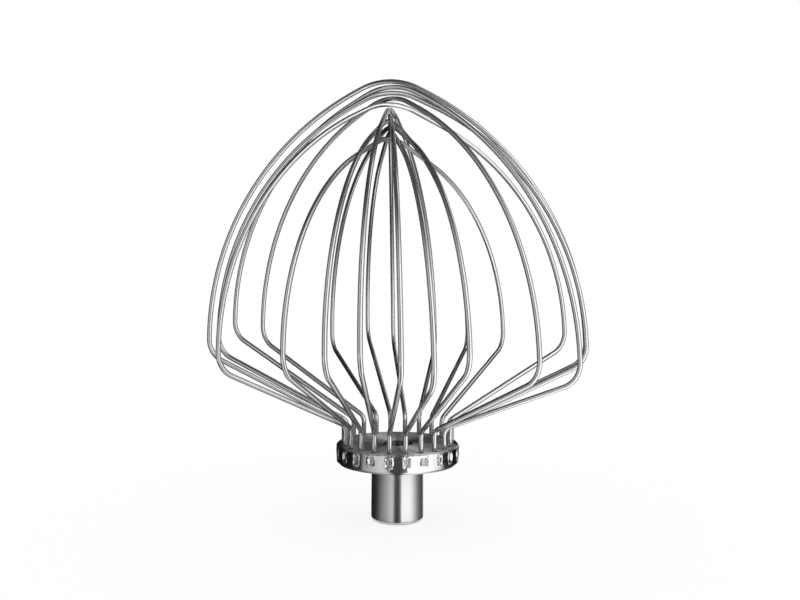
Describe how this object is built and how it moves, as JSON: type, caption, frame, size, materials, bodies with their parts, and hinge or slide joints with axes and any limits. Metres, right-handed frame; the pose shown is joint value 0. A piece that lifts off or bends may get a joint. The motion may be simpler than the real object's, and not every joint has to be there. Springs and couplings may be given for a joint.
{
  "type": "stand mixer wire whisk",
  "caption": "Pear-shaped wire whisk for a stand mixer: sprung wire loops staked into the flange of a turned hub, whose sleeve locks on the mixer's shaft.",
  "frame": {"origin": "centre of the sleeve's mouth, on the axis of the shaft socket", "axes": "+Z along the socket from its mouth to the wires, +X to the right and +Y away from the picture's viewer"},
  "size_m": [0.1587, 0.1592, 0.1856],
  "materials": {
    "hub_metal": "turned and polished",
    "wire_steel": "bright drawn stainless wire"
  },
  "bodies": {
    "root": {"hub": "hub_metal", "wire_loop_01": "wire_steel", "wire_loop_02": "wire_steel", "wire_loop_03": "wire_steel", "wire_loop_04": "wire_steel", "wire_loop_05": "wire_steel", "wire_loop_06": "wire_steel", "wire_loop_07": "wire_steel", "wire_loop_08": "wire_steel", "wire_loop_09": "wire_steel", "wire_loop_10": "wire_steel", "wire_loop_11": "wire_steel"}
  },
  "joints": []
}
